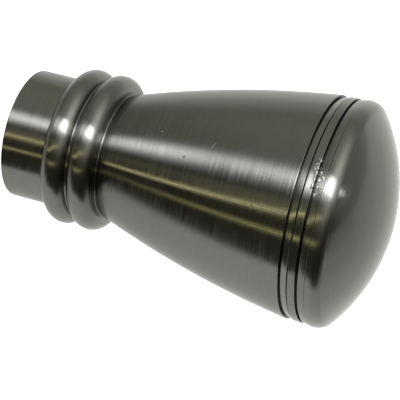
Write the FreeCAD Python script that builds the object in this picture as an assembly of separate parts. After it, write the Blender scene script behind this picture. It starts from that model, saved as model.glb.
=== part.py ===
import FreeCAD, Part
import math
import os

# Curtain pole finial, turned outline, hollow cast body, millimetres.
# The finial's axis is +X, from the mouth of the neck towards the domed end; +Z is up on a level pole.
# The origin is the centre of the neck's mouth.

# Socket for the pole
pole_diameter = 28.0
socket_clearance = 0.2
socket_depth = 20.0
mouth_chamfer = 0.4

# Neck
neck_wall = 1.3
neck_length = 10.75
neck_edge_round = 0.3

# Two equal half-round beads with a narrow flat between them
bead_radius = 3.3
bead_overlap = 0.1
bead_foot_round = 0.3
valley_rise = 1.25

# Short waist, then a flared cone that is slightly full in the middle
waist_step = 0.55
waist_land = 0.35
cone_length = 48.85
cone_end_radius = 26.35
cone_fullness = 1.3
cone_edge_round = 0.12

# Two fine grooves, each cut square on the neck's side and rising to a full shoulder, with a flat band between them
first_groove_depth = 1.2
second_groove_depth = 1.5
first_groove_width = 0.15
second_groove_width = 0.25
first_shoulder_width = 2.0
second_shoulder_width = 2.0
shoulder_fullness = 0.2
band_width = 1.75
band_edge_round = 0.12

# Rim and domed end
rim_step = 0.25
rim_corner_radius = 3.6
dome_radius = 42.0
overall_length = 90.85

# Hollow inside
wall = 3.0
stop_length = 3.8
stop_step = 0.15
hollow_corner_radius = 2.0

# Sizes that follow from the ones above
socket_radius = pole_diameter / 2 + socket_clearance
neck_radius = socket_radius + neck_wall
first_bead_x = neck_length + bead_radius
second_bead_x = first_bead_x + 2 * bead_radius - bead_overlap
waist_x = second_bead_x + bead_radius
cone_start_x = waist_x + waist_land
cone_start_radius = neck_radius - waist_step
cone_end_x = cone_start_x + cone_length
first_groove_x = cone_end_x + first_groove_width
band_start_x = first_groove_x + first_shoulder_width
band_end_x = band_start_x + band_width
second_groove_x = band_end_x + second_groove_width
rim_start_x = second_groove_x + second_shoulder_width
first_floor_radius = cone_end_radius - first_groove_depth
second_floor_radius = cone_end_radius - second_groove_depth
rim_radius = cone_end_radius + rim_step
dome_centre_x = overall_length - dome_radius


def at(x, r):
    """Point of the section: x along the axis, r out from it."""
    return FreeCAD.Vector(x, 0, r)


def line(a, b):
    return Part.makeLine(at(*a), at(*b))


def arc(a, middle, b):
    return Part.Arc(at(*a), at(*middle), at(*b)).toShape()


def full_arc_centre(a, b, fullness):
    """Centre and radius of the arc from a to b that stands out from its chord by fullness."""
    chord = math.hypot(b[0] - a[0], b[1] - a[1])
    radius = (chord ** 2 / 4 + fullness ** 2) / (2 * fullness)
    reach = radius - fullness
    x = (a[0] + b[0]) / 2 + (b[1] - a[1]) / chord * reach
    r = (a[1] + b[1]) / 2 - (b[0] - a[0]) / chord * reach
    return (x, r), radius


def full_arc(a, b, fullness):
    centre, radius = full_arc_centre(a, b, fullness)
    chord = math.hypot(b[0] - a[0], b[1] - a[1])
    middle = (centre[0] - (b[1] - a[1]) / chord * radius, centre[1] + (b[0] - a[0]) / chord * radius)
    return arc(a, middle, b)


def round_end(side_radius, corner_radius, ball_radius):
    """Corner and ball-shaped end: a side of side_radius runs into a ball centred on the axis."""
    corner_r = side_radius - corner_radius
    reach = ball_radius - corner_radius
    corner_x = dome_centre_x + math.sqrt(reach ** 2 - corner_r ** 2)
    lean = math.atan2(corner_r, corner_x - dome_centre_x)
    half = (lean + math.pi / 2) / 2
    start = (corner_x, side_radius)
    middle = (corner_x + corner_radius * math.cos(half), corner_r + corner_radius * math.sin(half))
    join = (dome_centre_x + ball_radius * math.cos(lean), ball_radius * math.sin(lean))
    dome_middle = (dome_centre_x + ball_radius * math.cos(lean / 2), ball_radius * math.sin(lean / 2))
    top = (dome_centre_x + ball_radius, 0)
    return start, [arc(start, middle, join), arc(join, dome_middle, top)]


def turned(edges):
    """Solid that the closed section makes in one full turn about the axis."""
    wire = Part.Wire(Part.__sortEdges__(edges))
    return Part.Face(wire).revolve(FreeCAD.Vector(0, 0, 0), FreeCAD.Vector(1, 0, 0), 360)


def rounded(solid, x, r, radius):
    """Round the ring edge that lies at x along the axis and r out from it."""
    near = 0.01
    rings = [e for e in solid.Edges if not e.Degenerated and isinstance(e.Curve, Part.Circle)]
    ring = [e for e in rings if abs(e.Curve.Center.x - x) < near and abs(e.Curve.Radius - r) < near]
    return solid.makeFillet(radius, ring)


# Outline of the outside, from the mouth of the neck to the top of the dome
valley_angle = math.asin(valley_rise / bead_radius)
over = (math.pi + valley_angle) / 2


def on_bead(bead_x, angle):
    return (bead_x + bead_radius * math.cos(angle), neck_radius + bead_radius * math.sin(angle))


neck_end = (neck_length, neck_radius)
valley_start = on_bead(first_bead_x, valley_angle)
valley_end = on_bead(second_bead_x, math.pi - valley_angle)
bead_end = (waist_x, neck_radius)
waist_start = (waist_x, cone_start_radius)
cone_start = (cone_start_x, cone_start_radius)
cone_end = (cone_end_x, cone_end_radius)
first_groove_start = (cone_end_x, first_floor_radius)
first_groove_end = (first_groove_x, first_floor_radius)
band_start = (band_start_x, cone_end_radius)
band_end = (band_end_x, cone_end_radius)
second_groove_start = (band_end_x, second_floor_radius)
second_groove_end = (second_groove_x, second_floor_radius)
rim_start = (rim_start_x, rim_radius)
corner_start, dome_edges = round_end(rim_radius, rim_corner_radius, dome_radius)

outside = [
    line((0, 0), (0, neck_radius)),
    line((0, neck_radius), neck_end),
    arc(neck_end, on_bead(first_bead_x, over), valley_start),
    line(valley_start, valley_end),
    arc(valley_end, on_bead(second_bead_x, math.pi - over), bead_end),
    line(bead_end, waist_start),
    line(waist_start, cone_start),
    full_arc(cone_start, cone_end, cone_fullness),
    line(cone_end, first_groove_start),
    line(first_groove_start, first_groove_end),
    full_arc(first_groove_end, band_start, shoulder_fullness),
    line(band_start, band_end),
    line(band_end, second_groove_start),
    line(second_groove_start, second_groove_end),
    full_arc(second_groove_end, rim_start, shoulder_fullness),
    line(rim_start, corner_start),
] + dome_edges + [line((overall_length, 0), (0, 0))]

body = turned(outside)
body = rounded(body, 0, neck_radius, neck_edge_round)
body = rounded(body, neck_length, neck_radius, bead_foot_round)
body = rounded(body, waist_x, cone_start_radius, bead_foot_round)
body = rounded(body, cone_end_x, cone_end_radius, cone_edge_round)
body = rounded(body, band_end_x, cone_end_radius, band_edge_round)

# Outline of the hollow: socket, stop for the pole, then a cavity that keeps the wall even
cone_centre, cone_radius = full_arc_centre(cone_start, cone_end, cone_fullness)


def inner_cone(x):
    """Radius of the cavity under the cone: the cone's own arc, one wall further in."""
    return cone_centre[1] + math.sqrt((cone_radius - wall) ** 2 - (x - cone_centre[0]) ** 2)


cavity_start_x = socket_depth + stop_length
cavity_start = (cavity_start_x, inner_cone(cavity_start_x))
stop_radius = inner_cone(cavity_start_x) - stop_step
cavity_middle_x = (cavity_start_x + cone_end_x) / 2
cavity_side_radius = inner_cone(cone_end_x)
cavity_side = (cone_end_x, cavity_side_radius)
cavity_corner, cavity_end = round_end(cavity_side_radius, hollow_corner_radius, dome_radius - wall)

inside = [
    line((0, 0), (0, socket_radius + mouth_chamfer)),
    line((0, socket_radius + mouth_chamfer), (mouth_chamfer, socket_radius)),
    line((mouth_chamfer, socket_radius), (socket_depth, socket_radius)),
    line((socket_depth, socket_radius), (socket_depth, stop_radius)),
    line((socket_depth, stop_radius), (cavity_start_x, stop_radius)),
    line((cavity_start_x, stop_radius), cavity_start),
    arc(cavity_start, (cavity_middle_x, inner_cone(cavity_middle_x)), cavity_side),
    line(cavity_side, cavity_corner),
] + cavity_end + [line((overall_length - wall, 0), (0, 0))]

finial = body.cut(turned(inside))

os.makedirs("parts", exist_ok=True)
finial.exportStep("parts/finial.step")
print("finial volume cm3", round(finial.Volume / 1000, 3), "valid", finial.isValid(), "solids", len(finial.Solids))
print("box", finial.BoundBox, "stop radius", round(stop_radius, 2))
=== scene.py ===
"""Curtain pole finial in brushed black nickel: turned body with beads, flared cone, grooves and dome."""
import math

import bpy
from mathutils import Matrix, Vector


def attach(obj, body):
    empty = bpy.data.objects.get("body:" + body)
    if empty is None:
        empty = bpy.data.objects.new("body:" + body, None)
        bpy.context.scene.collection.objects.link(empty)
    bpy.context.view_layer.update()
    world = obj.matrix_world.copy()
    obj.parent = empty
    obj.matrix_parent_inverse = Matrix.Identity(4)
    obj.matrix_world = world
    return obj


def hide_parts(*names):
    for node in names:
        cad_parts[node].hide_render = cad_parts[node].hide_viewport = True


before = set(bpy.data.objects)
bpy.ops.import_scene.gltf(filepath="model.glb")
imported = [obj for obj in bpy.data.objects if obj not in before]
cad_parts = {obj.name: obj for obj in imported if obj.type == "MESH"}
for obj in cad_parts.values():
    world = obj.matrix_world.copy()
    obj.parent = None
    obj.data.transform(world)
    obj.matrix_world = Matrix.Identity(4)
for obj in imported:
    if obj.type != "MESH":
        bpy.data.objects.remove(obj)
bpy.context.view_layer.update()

MM = 0.001

# Outside of the turned body, in millimetres: x along the axis from the mouth, r out from it
NECK_RADIUS = 15.5
NECK_LENGTH = 10.75
NECK_EDGE_ROUND = 0.3
BEAD_RADIUS = 3.3
BEAD_OVERLAP = 0.1
BEAD_FOOT_ROUND = 0.3
WAIST_ROUND = 0.2
VALLEY_RISE = 1.25
WAIST_STEP = 0.55
WAIST_LAND = 0.35
CONE_LENGTH = 48.85
CONE_END_RADIUS = 26.35
CONE_FULLNESS = 1.3
FIRST_GROOVE_DEPTH = 0.9
SECOND_GROOVE_DEPTH = 1.1
FIRST_GROOVE_WIDTH = 0.15
SECOND_GROOVE_WIDTH = 0.25
FIRST_FOOT_DEPTH = 0.62
SECOND_FOOT_DEPTH = 0.15
FIRST_SLOT_SLANT = 0.06
SECOND_SLOT_SLANT = 0.3
FIRST_CREASE_DEPTH = 0.36
FIRST_CREASE_WIDTH = 0.4
SECOND_CREASE_DEPTH = 0.14
SECOND_CREASE_WIDTH = 0.1
FIRST_SHOULDER_WIDTH = 2.0
SECOND_SHOULDER_WIDTH = 2.0
FIRST_SHOULDER_FULLNESS = 0.03
SECOND_SHOULDER_FULLNESS = 0.05
BAND_WIDTH = 1.75
RIM_STEP = 0.25
RIM_CORNER_RADIUS = 3.6
DOME_RADIUS = 42.0
OVERALL_LENGTH = 90.85
GROOVE_EDGE_ROUND = 0.16
FINE_EDGE_ROUND = 0.05

# Inside: socket for the pole, stop ring, and the hollow behind it
SOCKET_RADIUS = 14.2
SOCKET_DEPTH = 20.0
MOUTH_CHAMFER = 0.4
WALL = 3.0
STOP_LENGTH = 3.8
STOP_STEP = 0.15
HOLLOW_CORNER_RADIUS = 2.0
INNER_EDGE_ROUND = 0.1

# Places that follow from the sizes
FIRST_BEAD_X = NECK_LENGTH + BEAD_RADIUS
BEAD_PITCH = 2 * BEAD_RADIUS - BEAD_OVERLAP
SECOND_BEAD_X = FIRST_BEAD_X + BEAD_PITCH
WAIST_X = SECOND_BEAD_X + BEAD_RADIUS
CONE_START_X = WAIST_X + WAIST_LAND
CONE_END_X = CONE_START_X + CONE_LENGTH
FIRST_GROOVE_X = CONE_END_X + FIRST_GROOVE_WIDTH
BAND_START_X = FIRST_GROOVE_X + FIRST_SHOULDER_WIDTH
BAND_END_X = BAND_START_X + BAND_WIDTH
SECOND_GROOVE_X = BAND_END_X + SECOND_GROOVE_WIDTH
RIM_START_X = SECOND_GROOVE_X + SECOND_SHOULDER_WIDTH
FIRST_FLOOR_RADIUS = CONE_END_RADIUS - FIRST_GROOVE_DEPTH
SECOND_FLOOR_RADIUS = CONE_END_RADIUS - SECOND_GROOVE_DEPTH
RIM_RADIUS = CONE_END_RADIUS + RIM_STEP
DOME_CENTRE_X = OVERALL_LENGTH - DOME_RADIUS

# Finishes along the outline; the groove finish carries painted shade
BRUSHED, TURNED, SMOOTH, GROOVE, CAST = range(5)

# How finely the turned body is cut
STEPS_ROUND = 324
CORNER_STEPS = 4
NECK_CUTS = 3
BEAD_CUTS = 26
CONE_CUTS = 36
SHOULDER_CUTS = 6
BAND_CUTS = 2
RIM_CORNER_CUTS = 18
DOME_CUTS = 32
SOCKET_CUTS = 3
HOLLOW_CUTS = 12
HOLLOW_CORNER_CUTS = 6
HOLLOW_BALL_CUTS = 12


# Outline of the body
def straight(start, end, cuts=1):
    """Points on the line from start to end."""
    return [
        (start[0] + (end[0] - start[0]) * i / cuts, start[1] + (end[1] - start[1]) * i / cuts)
        for i in range(cuts + 1)
    ]


def swept(centre, radius, start_angle, end_angle, cuts):
    """Points on the arc about centre, its angles counted from the axis."""
    angles = [start_angle + (end_angle - start_angle) * i / cuts for i in range(cuts + 1)]
    return [(centre[0] + radius * math.cos(a), centre[1] + radius * math.sin(a)) for a in angles]


def full_arc_centre(start, end, fullness):
    """Centre and radius of the arc that stands out from its chord by fullness."""
    along, out = end[0] - start[0], end[1] - start[1]
    chord = math.hypot(along, out)
    radius = (chord**2 / 4 + fullness**2) / (2 * fullness)
    reach = (radius - fullness) / chord
    centre = ((start[0] + end[0]) / 2 + out * reach, (start[1] + end[1]) / 2 - along * reach)
    return centre, radius


def bowed(start, end, fullness, cuts):
    """Points on the arc from start to end that stands out from its chord by fullness."""
    centre, radius = full_arc_centre(start, end, fullness)
    first = math.atan2(start[1] - centre[1], start[0] - centre[0])
    last = math.atan2(end[1] - centre[1], end[0] - centre[0])
    return swept(centre, radius, first, last, cuts)


def ball_end(side_radius, corner_radius, ball_radius, corner_cuts, ball_cuts):
    """Corner and ball-shaped end on a side of side_radius, from the side to the axis."""
    corner_r = side_radius - corner_radius
    corner_x = DOME_CENTRE_X + math.sqrt((ball_radius - corner_radius) ** 2 - corner_r**2)
    lean = math.atan2(corner_r, corner_x - DOME_CENTRE_X)
    corner = swept((corner_x, corner_r), corner_radius, math.pi / 2, lean, corner_cuts)
    ball = swept((DOME_CENTRE_X, 0.0), ball_radius, lean, 0.0, ball_cuts)
    return corner, ball


def shortened(points, reach):
    """The points without the first stretch of length reach, with a new first point at the cut."""
    walked = 0.0
    for i in range(len(points) - 1):
        step = math.dist(points[i], points[i + 1])
        if walked + step > reach:
            t = (reach - walked) / step
            cut = tuple(a + (b - a) * t for a, b in zip(points[i], points[i + 1]))
            return [cut] + points[i + 1 :]
        walked += step
    raise ValueError("a corner's rounding is longer than its side")


def corner_curve(before, after):
    """Smooth curve from the end of before to the start of after, along both at its ends."""
    start, end = before[-1], after[0]
    ax, ar = start[0] - before[-2][0], start[1] - before[-2][1]
    bx, br = end[0] - after[1][0], end[1] - after[1][1]
    turn = ax * br - ar * bx
    reach = ((end[0] - start[0]) * br - (end[1] - start[1]) * bx) / turn
    knee = (start[0] + ax * reach, start[1] + ar * reach)
    curve = []
    for i in range(CORNER_STEPS + 1):
        t = i / CORNER_STEPS
        weights = (1 - t) ** 2, 2 * t * (1 - t), t**2
        curve.append(tuple(sum(w * p[k] for w, p in zip(weights, (start, knee, end))) for k in (0, 1)))
    return curve


def joined(strokes):
    """Points of one outline and a finish for each, from strokes of (points, finish, rounding at the end)."""
    sides = [list(points) for points, _, _ in strokes]
    corners = {}
    for i, (_, _, rounding) in enumerate(strokes[:-1]):
        if rounding:
            sides[i] = shortened(sides[i][::-1], rounding)[::-1]
            sides[i + 1] = shortened(sides[i + 1], rounding)
            corners[i] = corner_curve(sides[i], sides[i + 1])
    points, finishes = [], []
    for i, (_, finish, _) in enumerate(strokes):
        points += sides[i][:-1]
        finishes += [finish] * (len(sides[i]) - 1)
        if i in corners:
            points += corners[i][:-1]
            finishes += [finish] * (len(corners[i]) - 1)
    points.append(sides[-1][-1])
    finishes.append(strokes[-1][1])
    return points, finishes


def bead(bead_x, start_angle, end_angle):
    return swept((bead_x, NECK_RADIUS), BEAD_RADIUS, start_angle, end_angle, BEAD_CUTS)


valley_angle = math.asin(VALLEY_RISE / BEAD_RADIUS)
first_bead = bead(FIRST_BEAD_X, math.pi, valley_angle)
second_bead = bead(SECOND_BEAD_X, math.pi - valley_angle, 0.0)

waist_start = (WAIST_X, NECK_RADIUS - WAIST_STEP)
cone_start = (CONE_START_X, NECK_RADIUS - WAIST_STEP)
cone_end = (CONE_END_X, CONE_END_RADIUS)
band_start = (BAND_START_X, CONE_END_RADIUS)
band_end = (BAND_END_X, CONE_END_RADIUS)
groove_1_floor = straight((CONE_END_X, FIRST_FLOOR_RADIUS), (FIRST_GROOVE_X, FIRST_FLOOR_RADIUS))
groove_2_floor = straight((BAND_END_X, SECOND_FLOOR_RADIUS), (SECOND_GROOVE_X, SECOND_FLOOR_RADIUS))
foot_1 = (FIRST_GROOVE_X + FIRST_SLOT_SLANT, CONE_END_RADIUS - FIRST_FOOT_DEPTH)
foot_2 = (SECOND_GROOVE_X + SECOND_SLOT_SLANT, CONE_END_RADIUS - SECOND_FOOT_DEPTH)
crease_1 = (BAND_START_X - FIRST_CREASE_WIDTH, CONE_END_RADIUS - FIRST_CREASE_DEPTH)
crease_2 = (RIM_START_X - SECOND_CREASE_WIDTH, RIM_RADIUS - SECOND_CREASE_DEPTH)
shoulder_1 = bowed(foot_1, crease_1, FIRST_SHOULDER_FULLNESS, SHOULDER_CUTS)
shoulder_2 = bowed(foot_2, crease_2, SECOND_SHOULDER_FULLNESS, SHOULDER_CUTS)
rim_corner, dome = ball_end(RIM_RADIUS, RIM_CORNER_RADIUS, DOME_RADIUS, RIM_CORNER_CUTS, DOME_CUTS)

cone_centre, cone_radius = full_arc_centre(cone_start, cone_end, CONE_FULLNESS)


def hollow_radius(x):
    """Radius of the hollow under the cone: the cone's own arc, one wall further in."""
    return cone_centre[1] + math.sqrt((cone_radius - WALL) ** 2 - (x - cone_centre[0]) ** 2)


socket_mouth = (MOUTH_CHAMFER, SOCKET_RADIUS)
socket_end = (SOCKET_DEPTH, SOCKET_RADIUS)
hollow_x = SOCKET_DEPTH + STOP_LENGTH
stop_radius = hollow_radius(hollow_x) - STOP_STEP
hollow_step = (CONE_END_X - hollow_x) / HOLLOW_CUTS
hollow_side = [(x, hollow_radius(x)) for x in (hollow_x + hollow_step * i for i in range(HOLLOW_CUTS + 1))]
hollow_corner, hollow_ball = ball_end(
    hollow_side[-1][1], HOLLOW_CORNER_RADIUS, DOME_RADIUS - WALL, HOLLOW_CORNER_CUTS, HOLLOW_BALL_CUTS
)

outside = [
    (straight((0.0, SOCKET_RADIUS + MOUTH_CHAMFER), (0.0, NECK_RADIUS)), BRUSHED, NECK_EDGE_ROUND),
    (straight((0.0, NECK_RADIUS), (NECK_LENGTH, NECK_RADIUS), NECK_CUTS), BRUSHED, BEAD_FOOT_ROUND),
    (first_bead, TURNED, FINE_EDGE_ROUND),
    (straight(first_bead[-1], second_bead[0]), TURNED, FINE_EDGE_ROUND),
    (second_bead, TURNED, FINE_EDGE_ROUND),
    (straight((WAIST_X, NECK_RADIUS), waist_start), TURNED, WAIST_ROUND),
    (straight(waist_start, cone_start), TURNED, FINE_EDGE_ROUND),
    (bowed(cone_start, cone_end, CONE_FULLNESS, CONE_CUTS), BRUSHED, GROOVE_EDGE_ROUND),
    (straight(cone_end, groove_1_floor[0]), GROOVE, FINE_EDGE_ROUND),
    (groove_1_floor, GROOVE, FINE_EDGE_ROUND),
    (straight(groove_1_floor[-1], foot_1), GROOVE, FINE_EDGE_ROUND),
    (shoulder_1, SMOOTH, FINE_EDGE_ROUND),
    (straight(crease_1, band_start), GROOVE, FINE_EDGE_ROUND),
    (straight(band_start, band_end, BAND_CUTS), BRUSHED, GROOVE_EDGE_ROUND),
    (straight(band_end, groove_2_floor[0]), GROOVE, FINE_EDGE_ROUND),
    (groove_2_floor, GROOVE, FINE_EDGE_ROUND),
    (straight(groove_2_floor[-1], foot_2), GROOVE, FINE_EDGE_ROUND),
    (shoulder_2, TURNED, FINE_EDGE_ROUND / 2),
    (straight(crease_2, (RIM_START_X, RIM_RADIUS)), GROOVE, FINE_EDGE_ROUND),
    (straight((RIM_START_X, RIM_RADIUS), rim_corner[0]), TURNED, 0),
    (rim_corner, TURNED, 0),
    (dome, SMOOTH, 0),
]
inside = [
    (hollow_ball[::-1], CAST, 0),
    (hollow_corner[::-1], CAST, 0),
    (straight(hollow_corner[0], hollow_side[-1]), CAST, 0),
    (hollow_side[::-1], CAST, INNER_EDGE_ROUND / 2),
    (straight(hollow_side[0], (hollow_x, stop_radius)), CAST, INNER_EDGE_ROUND / 2),
    (straight((hollow_x, stop_radius), (SOCKET_DEPTH, stop_radius)), CAST, INNER_EDGE_ROUND),
    (straight((SOCKET_DEPTH, stop_radius), socket_end), CAST, INNER_EDGE_ROUND),
    (straight(socket_end, socket_mouth, SOCKET_CUTS), CAST, INNER_EDGE_ROUND),
    (straight(socket_mouth, outside[0][0][0]), BRUSHED, INNER_EDGE_ROUND),
]
outline, finishes = joined(inside + outside)


# Node helpers
def add(tree, kind, settings=None, inputs=None):
    """A node of that kind; inputs maps a socket's name or number to a value or to another node's output."""
    node = tree.nodes.new(kind)
    for key, value in (settings or {}).items():
        setattr(node, key, value)
    for key, value in (inputs or {}).items():
        if isinstance(value, bpy.types.NodeSocket):
            tree.links.new(value, node.inputs[key])
        else:
            node.inputs[key].default_value = value
    return node


def calc(tree, operation, *terms, clamp=False):
    """Output of a math node over terms."""
    node = add(tree, "ShaderNodeMath", {"operation": operation, "use_clamp": clamp}, dict(enumerate(terms)))
    return node.outputs[0]


def rise(tree, value, low, high, low_value=0.0, high_value=1.0):
    """Smooth change from low_value to high_value while value goes from low to high."""
    settings = {"interpolation_type": "SMOOTHSTEP"}
    inputs = {"Value": value, "From Min": low, "From Max": high, "To Min": low_value, "To Max": high_value}
    return add(tree, "ShaderNodeMapRange", settings, inputs).outputs["Result"]


def vector(tree, operation, a, b):
    """Vector math node over a and b."""
    return add(tree, "ShaderNodeVectorMath", {"operation": operation}, {0: a, 1: b})


def scaled(tree, colour, level):
    return add(tree, "ShaderNodeVectorMath", {"operation": "SCALE"}, {0: colour, "Scale": level}).outputs[0]


# Lathe: turns an outline once round the X axis into a closed skin with its finishes
def lathe_tree():
    tree = bpy.data.node_groups.new("turned_body", "GeometryNodeTree")
    face = tree.interface
    face.new_socket("Outline", in_out="INPUT", socket_type="NodeSocketObject")
    face.new_socket("Steps round", in_out="INPUT", socket_type="NodeSocketInt")
    face.new_socket("Crease angle", in_out="INPUT", socket_type="NodeSocketFloat")
    for name in FINISH_NAMES:
        face.new_socket(name, in_out="INPUT", socket_type="NodeSocketMaterial")
    face.new_socket("Geometry", in_out="OUTPUT", socket_type="NodeSocketGeometry")

    given = tree.nodes.new("NodeGroupInput").outputs
    source = add(tree, "GeometryNodeObjectInfo", None, {"Object": given["Outline"]}).outputs["Geometry"]
    size = add(tree, "GeometryNodeAttributeDomainSize", {"component": "MESH"}, {"Geometry": source})
    columns = whole(tree, "ADD", given["Steps round"], 1)
    inputs = {"Vertices X": size.outputs["Point Count"], "Vertices Y": columns}
    sheet = add(tree, "GeometryNodeMeshGrid", None, inputs).outputs["Mesh"]

    index = tree.nodes.new("GeometryNodeInputIndex").outputs["Index"]
    ring = whole(tree, "DIVIDE_FLOOR", index, columns)
    step = whole(tree, "MODULO", index, columns)
    angle = calc(tree, "MULTIPLY", calc(tree, "DIVIDE", step, given["Steps round"]), math.tau)
    place = tree.nodes.new("GeometryNodeInputPosition").outputs["Position"]
    on_outline = add(
        tree,
        "GeometryNodeSampleIndex",
        {"data_type": "FLOAT_VECTOR", "domain": "POINT"},
        {"Geometry": source, "Value": place, "Index": ring},
    )
    part = add(tree, "ShaderNodeSeparateXYZ", None, {0: on_outline.outputs["Value"]}).outputs
    turned = add(
        tree,
        "ShaderNodeCombineXYZ",
        None,
        {
            "X": part["X"],
            "Y": calc(tree, "MULTIPLY", part["Z"], calc(tree, "COSINE", angle)),
            "Z": calc(tree, "MULTIPLY", part["Z"], calc(tree, "SINE", angle)),
        },
    )
    run = read(tree, source, "run", "FLOAT", ring)
    flat = add(tree, "ShaderNodeCombineXYZ", None, {"X": run, "Y": calc(tree, "DIVIDE", angle, math.tau)})
    on_points = {"domain": "POINT", "data_type": "FLOAT_VECTOR"}
    flat = add(tree, "GeometryNodeFieldOnDomain", on_points, {0: flat.outputs[0]})
    row = whole(tree, "DIVIDE_FLOOR", index, given["Steps round"])
    finish = read(tree, source, "finish", "INT", row)

    body = store(tree, sheet, "UVMap", "FLOAT2", "CORNER", flat.outputs[0])
    body = store(tree, body, "finish", "INT", "FACE", finish)
    placed = {"Geometry": body, "Position": turned.outputs[0]}
    body = add(tree, "GeometryNodeSetPosition", None, placed).outputs[0]
    body = add(tree, "GeometryNodeMergeByDistance", None, {"Geometry": body, "Distance": SEAM_GAP}).outputs[0]
    bend = tree.nodes.new("GeometryNodeInputMeshEdgeAngle").outputs["Unsigned Angle"]
    steeper = {"operation": "GREATER_THAN"}
    sharp = add(tree, "FunctionNodeCompare", steeper, {0: bend, 1: given["Crease angle"]})
    creased = {"Geometry": body, "Selection": sharp.outputs[0], "Shade Smooth": False}
    body = add(tree, "GeometryNodeSetShadeSmooth", {"domain": "EDGE"}, creased).outputs[0]
    body = add(tree, "GeometryNodeRealizeInstances", None, {"Geometry": body}).outputs[0]
    kept = add(tree, "GeometryNodeInputNamedAttribute", {"data_type": "INT"}, {"Name": "finish"}).outputs[0]
    for number, name in enumerate(FINISH_NAMES):
        same = {"data_type": "INT", "operation": "EQUAL"}
        chosen = add(tree, "FunctionNodeCompare", same, {2: kept, 3: number}).outputs[0]
        dressed = {"Geometry": body, "Selection": chosen, "Material": given[name]}
        body = add(tree, "GeometryNodeSetMaterial", None, dressed).outputs[0]
    out = tree.nodes.new("NodeGroupOutput")
    tree.links.new(body, out.inputs[0])
    return tree


def whole(tree, operation, a, b):
    """Output of a whole-number math node."""
    return add(tree, "FunctionNodeIntegerMath", {"operation": operation}, {0: a, 1: b}).outputs[0]


def read(tree, source, name, kind, index):
    """An attribute of the outline at an index."""
    value = add(tree, "GeometryNodeInputNamedAttribute", {"data_type": kind}, {"Name": name}).outputs[0]
    settings = {"data_type": kind, "domain": "POINT"}
    inputs = {"Geometry": source, "Value": value, "Index": index}
    return add(tree, "GeometryNodeSampleIndex", settings, inputs).outputs[0]


def store(tree, geometry, name, kind, domain, value):
    settings = {"data_type": kind, "domain": domain}
    inputs = {"Geometry": geometry, "Name": name, "Value": value}
    return add(tree, "GeometryNodeStoreNamedAttribute", settings, inputs).outputs[0]


FINISH_NAMES = ("Brushed", "Turned", "Smooth", "Groove", "Cast")
SEAM_GAP = 0.001 * MM
CREASE_ANGLE = math.radians(40)


def outline_object():
    """The outline's points as a loose mesh in the XZ plane, with its finish and the distance run along it."""
    mesh = bpy.data.meshes.new("outline_points")
    mesh.from_pydata([(x * MM, 0.0, max(r, 0.0) * MM) for x, r in outline], [], [])
    runs = [0.0]
    for a, b in zip(outline, outline[1:]):
        runs.append(runs[-1] + math.dist(a, b))
    mesh.attributes.new("run", "FLOAT", "POINT").data.foreach_set("value", [run * MM for run in runs])
    mesh.attributes.new("finish", "INT", "POINT").data.foreach_set("value", finishes)
    made = bpy.data.objects.new("outline", mesh)
    bpy.context.scene.collection.objects.link(made)
    return made


def turned_body(materials):
    """The finial as one plain mesh."""
    source = outline_object()
    body = bpy.data.objects.new("finial_body", bpy.data.meshes.new("finial_body"))
    bpy.context.scene.collection.objects.link(body)
    lathe = body.modifiers.new("lathe", "NODES")
    lathe.node_group = lathe_tree()
    given = {"Outline": source, "Steps round": STEPS_ROUND, "Crease angle": CREASE_ANGLE}
    given.update(zip(FINISH_NAMES, materials))
    for item in lathe.node_group.interface.items_tree:
        if item.in_out == "INPUT":
            lathe[item.identifier] = given[item.name]
    graph = bpy.context.evaluated_depsgraph_get()
    mesh = bpy.data.meshes.new_from_object(body.evaluated_get(graph))
    body.modifiers.remove(lathe)
    body.data = mesh
    mesh.name = "finial_body"
    bpy.data.objects.remove(source)
    return body


# Materials
NICKEL = (0.178, 0.176, 0.158, 1.0)
# Painted highlight: pale colour given to the casting marks, which sit where the highlight falls by the band
# and the second groove
CASTING_MARK_PAINTED_HIGHLIGHT = (0.46, 0.455, 0.43)
NICKEL_EDGE = (0.82, 0.82, 0.82, 1.0)
POLISHED_EDGE = (0.93, 0.93, 0.93, 1.0)
NICKEL_BRUSHED = (0.158, 0.156, 0.14, 1.0)
NICKEL_ON_BEADS = (0.155, 0.153, 0.138, 1.0)
# Painted shade: the grooves and the creases before the band and the rim are coloured near black, where shade
# falls in the narrow recesses
GROOVE_PAINTED_SHADE = (0.06, 0.059, 0.053, 1.0)
CAST_GREY = (0.16, 0.158, 0.15, 1.0)


# Brushing: fineness per metre along the axis and round it, place in the noise, share
FINE_LINES = (4800.0, 90.0, 3.0, 0.6)
MIDDLE_LINES = (2300.0, 60.0, 11.0, 0.3)
BROAD_LINES = (420.0, 30.0, 23.0, 0.1)
HANDLING_CLOUD = 70.0
CASTING_GRAIN = 1700.0
GRAIN_LOW, GRAIN_HIGH = 0.42, 0.62

# What a mark does to the tone, the roughness and the height
DARK_MARK_TONE = -0.8
# Light marks are lightened in colour: a painted glint and a real scratch
PAINTED_GLINT_AND_SCRATCH_TONE = 0.5
MARK_ROUGHNESS = 0.3
CASTING_ROUGHNESS = 0.15
CASTING_HEIGHT = 0.12
CLOUD_ROUGHNESS = 0.3
MARK_EDGE = 0.5


def streaks(tree, place, along, round_, seed):
    """Noise drawn out round the axis: fine along X, long round the body."""
    mapping = add(tree, "ShaderNodeMapping", None, {"Vector": place, "Scale": (along, round_, round_)})
    mapping.inputs["Location"].default_value = (seed, seed, seed)
    noise = add(tree, "ShaderNodeTexNoise", None, {"Vector": mapping.outputs[0], "Scale": 1.0, "Detail": 2.0})
    return noise.outputs[0]


def grain(tree, place, fineness, detail=3.0):
    """Even noise of that fineness per metre."""
    inputs = {"Vector": place, "Scale": fineness, "Detail": detail}
    return add(tree, "ShaderNodeTexNoise", None, inputs).outputs[0]


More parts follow.
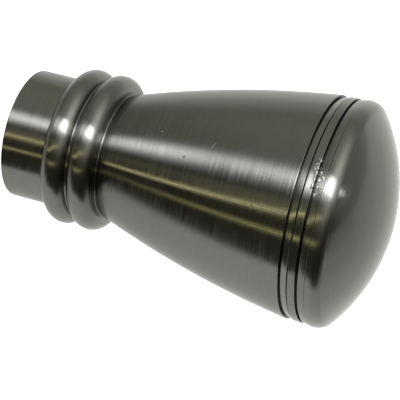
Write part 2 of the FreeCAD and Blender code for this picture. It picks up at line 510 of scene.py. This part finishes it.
def blended(tree, a, b, share):
    """Colour a turning into b as share goes from 0 to 1."""
    mix = add(tree, "ShaderNodeMix", {"data_type": "RGBA"}, {"Factor": share})
    tree.links.new(a, mix.inputs["A"])
    tree.links.new(b, mix.inputs["B"])
    return next(out for out in mix.outputs if out.type == "RGBA")


def on_body(x, roll, r):
    """Point of the surface, x along the axis, at a roll about it (0 in front, 90 on top), r out from it."""
    roll = math.radians(roll)
    return Vector((x, -r * math.cos(roll), r * math.sin(roll))) * MM


def cone_surface(x):
    """Radius of the cone's outside at x."""
    return cone_centre[1] + math.sqrt(cone_radius**2 - (x - cone_centre[0]) ** 2)


def marked(tree, place, marks):
    """1 on the marks and 0 beside them; each mark is a short line with a start, an end and a half width."""
    total = None
    for start, end, size in marks:
        span = end - start
        apart = vector(tree, "SUBTRACT", place, start).outputs[0]
        along = vector(tree, "DOT_PRODUCT", apart, span).outputs["Value"]
        share = calc(tree, "DIVIDE", along, span.length_squared, clamp=True)
        gap = vector(tree, "DISTANCE", apart, scaled(tree, span, share)).outputs["Value"]
        mask = rise(tree, gap, size * MARK_EDGE * MM, size * MM, 1.0, 0.0)
        total = mask if total is None else calc(tree, "MAXIMUM", total, mask)
    return total


def metal(
    name, colour, edge, roughness, rough_lines, anisotropy, brush_depth, line_shade,
    dark=(), light=(), rough=(),
):
    """Plated metal turned and brushed round the X axis, with its few dark, light and rough marks; the light
    marks are a painted glint and a real scratch, and the rough marks are casting marks with a painted
    highlight.
    """
    material = bpy.data.materials.new(name)
    material.use_nodes = True
    tree = material.node_tree
    shader = tree.nodes["Principled BSDF"]
    place = tree.nodes.new("ShaderNodeTexCoord").outputs["Object"]
    kinds = (FINE_LINES, MIDDLE_LINES, BROAD_LINES)
    fine, middle, broad = (streaks(tree, place, *kind[:3]) for kind in kinds)
    cloud = grain(tree, place, HANDLING_CLOUD)
    mix = calc(tree, "MULTIPLY_ADD", fine, FINE_LINES[3], calc(tree, "MULTIPLY", middle, MIDDLE_LINES[3]))
    mix = calc(tree, "MULTIPLY_ADD", broad, BROAD_LINES[3], mix)
    lines = rise(tree, mix, GRAIN_LOW, GRAIN_HIGH)
    varied = calc(tree, "MULTIPLY_ADD", lines, rough_lines, roughness)
    clouded = calc(tree, "SUBTRACT", cloud, 0.5)
    varied = calc(tree, "MULTIPLY_ADD", clouded, rough_lines * CLOUD_ROUGHNESS, varied)
    tone = calc(tree, "MULTIPLY_ADD", calc(tree, "SUBTRACT", fine, 0.5), line_shade, 1.0)
    height = calc(tree, "MULTIPLY", mix, brush_depth * MM)
    if dark:
        spots = marked(tree, place, dark)
        tone = calc(tree, "MULTIPLY_ADD", spots, DARK_MARK_TONE, tone)
        varied = calc(tree, "MULTIPLY_ADD", spots, MARK_ROUGHNESS, varied)
    # Painted glint and real scratch, both lightened in colour
    if light:
        spots = marked(tree, place, light)
        tone = calc(tree, "MULTIPLY_ADD", spots, PAINTED_GLINT_AND_SCRATCH_TONE, tone)
        varied = calc(tree, "MULTIPLY_ADD", spots, MARK_ROUGHNESS, varied)
    if rough:
        coarse = rise(tree, grain(tree, place, CASTING_GRAIN), GRAIN_LOW, GRAIN_HIGH)
        spots = calc(tree, "MULTIPLY", marked(tree, place, rough), coarse)
        height = calc(tree, "MULTIPLY_ADD", spots, CASTING_HEIGHT * MM, height)
        varied = calc(tree, "MULTIPLY_ADD", spots, CASTING_ROUGHNESS, varied)
    base = scaled(tree, colour[:3], tone)
    # Painted highlight: the rough casting marks are also turned pale in colour where they catch the highlight
    if rough:
        base = blended(tree, base, scaled(tree, CASTING_MARK_PAINTED_HIGHLIGHT, 1.0), spots)
    tree.links.new(varied, shader.inputs["Roughness"])
    tree.links.new(base, shader.inputs["Base Color"])
    shader.inputs["Specular Tint"].default_value = edge
    shader.inputs["Metallic"].default_value = 1.0
    shader.inputs["Anisotropic"].default_value = anisotropy
    along = add(tree, "ShaderNodeTangent", {"direction_type": "UV_MAP", "uv_map": "UVMap"}).outputs[0]
    tree.links.new(along, shader.inputs["Tangent"])
    bump = add(tree, "ShaderNodeBump", None, {"Height": height, "Strength": 1.0, "Distance": 1.0})
    tree.links.new(bump.outputs[0], shader.inputs["Normal"])
    return material


# Surface left by casting: fineness per metre, roughness and relief
CAST_GRAIN = 1400.0
CAST_CLOUD = 120.0
CAST_ROUGHNESS = (0.42, 0.6)
CAST_RELIEF = 0.02


def cast_metal(name, colour):
    """Cast surface under thin plating, as left inside the hollow."""
    material = bpy.data.materials.new(name)
    material.use_nodes = True
    tree = material.node_tree
    shader = tree.nodes["Principled BSDF"]
    place = tree.nodes.new("ShaderNodeTexCoord").outputs["Object"]
    shader.inputs["Base Color"].default_value = colour
    shader.inputs["Metallic"].default_value = 1.0
    cloud = grain(tree, place, CAST_CLOUD)
    tree.links.new(rise(tree, cloud, 0.3, 0.7, *CAST_ROUGHNESS), shader.inputs["Roughness"])
    skin = {"Height": grain(tree, place, CAST_GRAIN, 4.0), "Strength": 0.6, "Distance": CAST_RELIEF * MM}
    bump = add(tree, "ShaderNodeBump", None, skin)
    tree.links.new(bump.outputs[0], shader.inputs["Normal"])
    return material


SPOT_LENGTH = 0.02


def spot(x, roll, r, size):
    """Round mark of that size on the surface, as a line too short to see."""
    return on_body(x, roll, r), on_body(x + SPOT_LENGTH, roll, r), size


# Small marks of use and of casting, with a painted glint on the cone and a painted highlight on the casting
# marks
cone_pit = spot(45.8, 51.0, cone_surface(45.8), 0.28)
# Painted highlight: a small glint lightened into the cone's colour
cone_painted_glint = spot(38.3, 65.5, cone_surface(38.3), 0.26)
scratch_r = cone_surface(52.0)
cone_scratch = (on_body(51.55, 58.7, scratch_r), on_body(52.44, 62.8, scratch_r), 0.13)
rim_pit = spot(82.2, -25.4, 26.6, 0.3)
# Casting marks: real relief and roughness, placed at the height of the highlight and coloured pale as painted
# highlight
casting_marks_with_painted_highlight = [
    spot(77.0, 64.5, 25.9, 0.9),
    spot(76.7, 60.5, 26.1, 1.0),
    spot(77.2, 57.5, 25.9, 1.2),
    spot(77.4, 54.0, 25.8, 1.2),
    spot(77.2, 50.5, 25.8, 1.1),
    spot(77.5, 47.0, 25.9, 0.8),
    spot(78.4, 55.5, 26.2, 0.8),
    spot(78.5, 49.0, 26.2, 0.8),
]

brushed = metal(
    "brushed_black_nickel", NICKEL_BRUSHED, NICKEL_EDGE, 0.145, 0.1, 0.96, 0.0026, 0.28,
    dark=[cone_pit], light=[cone_painted_glint, cone_scratch], rough=casting_marks_with_painted_highlight,
)
turned = metal(
    "turned_black_nickel", NICKEL_ON_BEADS, POLISHED_EDGE, 0.2, 0.06, 0.94, 0.0009, 0.2,
    dark=[rim_pit], rough=casting_marks_with_painted_highlight,
)
smooth = metal("smooth_black_nickel", NICKEL, POLISHED_EDGE, 0.13, 0.04, 0.3, 0.0008, 0.1)
# Grooves and creases, darkened in colour as painted shade
groove = metal(
    "groove_nickel_painted_shade", GROOVE_PAINTED_SHADE, NICKEL_EDGE, 0.24, 0.1, 0.3, 0.002, 0.3,
    rough=casting_marks_with_painted_highlight,
)
cast = cast_metal("cast_inside", CAST_GREY)
body = turned_body((brushed, turned, smooth, groove, cast))


# Studio: what the metal mirrors, by direction
def banded(tree, value, low, high, stops, top):
    """Colour ramp over value from low to high; each stop is an angle, a level and a tint."""
    place = calc(tree, "DIVIDE", calc(tree, "SUBTRACT", value, low), high - low)
    ramp = add(tree, "ShaderNodeValToRGB", None, {0: place})
    bands = ramp.color_ramp
    bands.interpolation = "EASE"
    while len(bands.elements) < len(stops):
        bands.elements.new(0.5)
    for element, (angle, level, tint) in zip(bands.elements, stops):
        element.position = (angle - low) / (high - low)
        element.color = [channel * level / top for channel in tint] + [1.0]
    return scaled(tree, ramp.outputs[0], top)


def bell(tree, value, middle, width):
    """Bell curve of value about its middle."""
    near = calc(tree, "DIVIDE", calc(tree, "SUBTRACT", value, middle), width)
    return calc(tree, "EXPONENT", calc(tree, "MULTIPLY", calc(tree, "MULTIPLY", near, near), -1.0))


def studio_world():
    world = bpy.data.worlds.new("studio")
    bpy.context.scene.world = world
    world.use_nodes = True
    tree = world.node_tree
    tree.nodes.clear()
    way = tree.nodes.new("ShaderNodeTexCoord").outputs["Generated"]
    part = add(tree, "ShaderNodeSeparateXYZ", None, {0: way}).outputs
    forward = calc(tree, "MULTIPLY", part["Y"], -1.0)
    roll = calc(tree, "DEGREES", calc(tree, "ARCTAN2", part["Z"], forward))
    lean = calc(tree, "DEGREES", calc(tree, "ARCSINE", part["X"]))

    room = banded(tree, roll, -180.0, 180.0, ROOM_BY_ROLL, BRIGHTEST)
    room_fall = banded(tree, lean, -90.0, 90.0, ROOM_BY_LEAN, 1.0)
    room = vector(tree, "MULTIPLY", room, room_fall).outputs[0]
    past = calc(tree, "MINIMUM", calc(tree, "SUBTRACT", lean, SLANT_FROM_LEAN), 0.0)
    for glow_roll, roll_width, slant, glow_lean, lean_width, level, tint in GLOWS:
        slanted = calc(tree, "MULTIPLY_ADD", past, -slant, roll)
        across = bell(tree, slanted, glow_roll, roll_width)
        glow = calc(tree, "MULTIPLY", across, bell(tree, lean, glow_lean, lean_width))
        line = scaled(tree, tint, calc(tree, "MULTIPLY", glow, level))
        room = vector(tree, "ADD", room, line).outputs[0]

    behind = calc(tree, "GREATER_THAN", roll, 90.0)
    down = calc(tree, "MULTIPLY_ADD", behind, -360.0, roll)
    table = banded(tree, lean, -90.0, 90.0, FLOOR_BY_LEAN, BRIGHTEST)
    table = scaled(tree, table, rise(tree, down, -180.0, FLOOR_BEHIND_ENDS, FLOOR_BEHIND, 1.0))
    edge = calc(tree, "MULTIPLY_ADD", calc(tree, "MAXIMUM", lean, 0.0), -FRONT_EDGE_TILT, FRONT_EDGE_ROLL)
    to_neck = calc(tree, "MAXIMUM", calc(tree, "SUBTRACT", -FRONT_EDGE_BEND, lean), 0.0)
    edge = calc(tree, "MULTIPLY_ADD", to_neck, FRONT_EDGE_LIFT, edge)
    before = rise(tree, calc(tree, "SUBTRACT", down, edge), -FRONT_EDGE_BLUR, FRONT_EDGE_BLUR, 1.0, 0.0)
    over = calc(tree, "MULTIPLY_ADD", calc(tree, "MAXIMUM", part["X"], 0.0), FLOOR_DIP_BY_DOME, part["Z"])
    over = calc(tree, "MULTIPLY_ADD", calc(tree, "MAXIMUM", part["Y"], 0.0), -BACKDROP_RISE, over)
    below = rise(tree, over, -FAR_EDGE_BLUR, FAR_EDGE_BLUR, 1.0, 0.0)
    across = bell(tree, down, SHADE_ROLL, SHADE_WIDTH)
    shade = calc(tree, "MULTIPLY", across, bell(tree, lean, SHADE_LEAN, SHADE_WIDTH))
    table = scaled(tree, table, calc(tree, "MULTIPLY_ADD", shade, -SHADE_DEPTH, 1.0))
    studio = blended(tree, room, table, calc(tree, "MULTIPLY", before, below))

    pale = add(tree, "ShaderNodeBackground", None, {"Color": BACKDROP, "Strength": 1.0})
    seen = add(tree, "ShaderNodeBackground", None, {"Color": studio, "Strength": 1.0})
    eye = tree.nodes.new("ShaderNodeLightPath").outputs["Is Camera Ray"]
    both = add(tree, "ShaderNodeMixShader", None, {0: eye, 1: seen.outputs[0], 2: pale.outputs[0]})
    out = tree.nodes.new("ShaderNodeOutputWorld")
    tree.links.new(both.outputs[0], out.inputs[0])


# Light level by roll round the axis (0 in front, 90 overhead) and by lean along it (90 towards the dome)
NEUTRAL = (1.0, 1.0, 0.985)
COOL = (0.97, 0.98, 1.05)
OLIVE = (1.0, 0.98, 0.72)
DUSK = (1.0, 0.99, 0.88)
ROOM_BY_ROLL = (
    (-180.0, 0.97, NEUTRAL),
    (-150.0, 0.75, NEUTRAL),
    (-80.0, 0.2, NEUTRAL),
    (-22.0, 0.09, OLIVE),
    (-4.0, 0.085, OLIVE),
    (16.0, 0.1, OLIVE),
    (26.0, 0.2, OLIVE),
    (38.0, 0.42, OLIVE),
    (46.0, 0.16, DUSK),
    (62.0, 0.4, NEUTRAL),
    (80.0, 0.5, NEUTRAL),
    (95.0, 0.58, DUSK),
    (120.0, 0.62, DUSK),
    (142.0, 0.55, DUSK),
    (158.0, 0.82, NEUTRAL),
    (170.0, 0.97, NEUTRAL),
    (180.0, 0.97, NEUTRAL),
)
ROOM_BY_LEAN = (
    (-90.0, 1.3, NEUTRAL),
    (-70.0, 1.2, NEUTRAL),
    (-62.0, 0.6, NEUTRAL),
    (-48.0, 0.55, NEUTRAL),
    (-30.0, 0.95, NEUTRAL),
    (-10.0, 1.0, NEUTRAL),
    (5.0, 0.95, NEUTRAL),
    (30.0, 0.6, NEUTRAL),
    (60.0, 0.42, NEUTRAL),
    (90.0, 0.4, NEUTRAL),
)
FLOOR_BY_LEAN = (
    (-90.0, 0.95, NEUTRAL),
    (-45.0, 1.08, NEUTRAL),
    (-15.0, 1.18, NEUTRAL),
    (0.0, 1.18, NEUTRAL),
    (20.0, 1.02, NEUTRAL),
    (40.0, 0.85, NEUTRAL),
    (60.0, 0.66, NEUTRAL),
    (72.0, 0.48, NEUTRAL),
    (85.0, 0.35, NEUTRAL),
)
BRIGHTEST = 1.5
FLOOR_BEHIND = 1.05
FLOOR_BEHIND_ENDS = -85.0
SHADE_ROLL = -138.0
SHADE_LEAN = -17.0
SHADE_WIDTH = 34.0
SHADE_DEPTH = 0.22
FRONT_EDGE_ROLL = -30.5
FRONT_EDGE_TILT = 0.7
FRONT_EDGE_BEND = 32.0
FRONT_EDGE_LIFT = 0.2
FRONT_EDGE_BLUR = 5.0
FLOOR_DIP_BY_DOME = 0.24
BACKDROP_RISE = 0.17
FAR_EDGE_BLUR = 0.04
SLANT_FROM_LEAN = -17.0
# Bright lines: roll and its width, slant towards the neck, lean and its width, level, tint
GLOWS = (
    (32.0, 2.0, 0.35, -40.0, 50.0, 2.9, (1.0, 0.93, 0.52)),
    (7.0, 2.2, 0.15, -14.0, 34.0, 1.5, (1.0, 0.95, 0.45)),
    (60.8, 8.2, -0.45, 2.0, 34.0, 5.3, COOL),
    (69.0, 11.0, 0.0, -50.0, 5.0, 7.0, COOL),
    (80.0, 42.0, 0.0, 38.0, 26.0, 2.1, NEUTRAL),
    (171.0, 4.0, 0.0, 77.9, 0.9, 18.0, COOL),
)
BACKDROP = (1.0, 1.0, 1.0, 1.0)
studio_world()

FINIAL_MIDDLE = Vector((45.0, 0.0, 0.0)) * MM


def towards(roll, lean):
    """Unit vector at a roll about the finial's axis and a lean towards the dome."""
    roll, lean = math.radians(roll), math.radians(lean)
    return Vector((math.sin(lean), -math.cos(lean) * math.cos(roll), math.cos(lean) * math.sin(roll)))


def softbox(name, roll, lean, distance, length, width, radiance):
    """Long soft light whose long side lies along the finial."""
    light = bpy.data.lights.new(name, "AREA")
    light.shape = "RECTANGLE"
    light.size = length * MM
    light.size_y = width * MM
    light.energy = radiance * math.pi * length * width * MM * MM
    light.color = COOL
    lamp = bpy.data.objects.new(name, light)
    bpy.context.scene.collection.objects.link(lamp)
    back = towards(roll, lean)
    side = Vector((1.0, 0.0, 0.0))
    side = (side - back * side.dot(back)).normalized()
    lamp.location = FINIAL_MIDDLE + back * distance * MM
    lamp.rotation_mode = "QUATERNION"
    lamp.rotation_quaternion = Matrix((side, back.cross(side), back)).transposed().to_quaternion()
    lamp.visible_camera = False
    lamp.visible_diffuse = False


softbox("overhead_softbox", 65.0, 22.0, 620.0, 600.0, 175.0, 6.5)

FILL_LEVEL = 2.6
FILL_ANGLE = 120
fill = bpy.data.lights.new("floor_fill", "SUN")
fill.energy = FILL_LEVEL
fill.angle = math.radians(FILL_ANGLE)
fill_lamp = bpy.data.objects.new("floor_fill", fill)
bpy.context.scene.collection.objects.link(fill_lamp)
fill_lamp.visible_glossy = False
fill_lamp.visible_camera = False

# Floor
FLOOR_DROP = 110.0
FLOOR_HALF = 4000.0
PALE = (0.87, 0.87, 0.87, 1.0)
FLOOR_ROUGHNESS = 0.9
floor_mesh = bpy.data.meshes.new("floor")
corners = [(-1, -1), (1, -1), (1, 1), (-1, 1)]
floor_mesh.from_pydata(
    [(x * FLOOR_HALF * MM, y * FLOOR_HALF * MM, -FLOOR_DROP * MM) for x, y in corners], [], [(0, 1, 2, 3)]
)
floor = bpy.data.objects.new("floor", floor_mesh)
bpy.context.scene.collection.objects.link(floor)
pale_floor = bpy.data.materials.new("pale_floor")
pale_floor.use_nodes = True
floor_shader = pale_floor.node_tree.nodes["Principled BSDF"]
floor_shader.inputs["Base Color"].default_value = PALE
floor_shader.inputs["Roughness"].default_value = FLOOR_ROUGHNESS
floor_shader.inputs["Specular IOR Level"].default_value = 0.0
floor_mesh.materials.append(pale_floor)
floor.visible_glossy = False

# Camera
CAMERA_PLACE = Vector((153.5, -269.0, 240.3)) * MM
CAMERA_WAY = Vector((-0.2902, 0.7143, -0.6368))
SENSOR_WIDTH = 36.0
FOCAL_LENGTH = 145.05
FRAME_SHIFT = -0.0617
NEAREST = 0.01
FARTHEST = 50.0
camera = bpy.data.cameras.new("camera")
camera.sensor_width = SENSOR_WIDTH
camera.lens = FOCAL_LENGTH
camera.shift_y = FRAME_SHIFT
camera.clip_start = NEAREST
camera.clip_end = FARTHEST
viewer = bpy.data.objects.new("camera", camera)
bpy.context.scene.collection.objects.link(viewer)
viewer.location = CAMERA_PLACE
viewer.rotation_mode = "QUATERNION"
viewer.rotation_quaternion = CAMERA_WAY.to_track_quat("-Z", "Y")
bpy.context.scene.camera = viewer

bpy.context.scene.view_settings.view_transform = "Standard"

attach(body, "root")
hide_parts("finial")
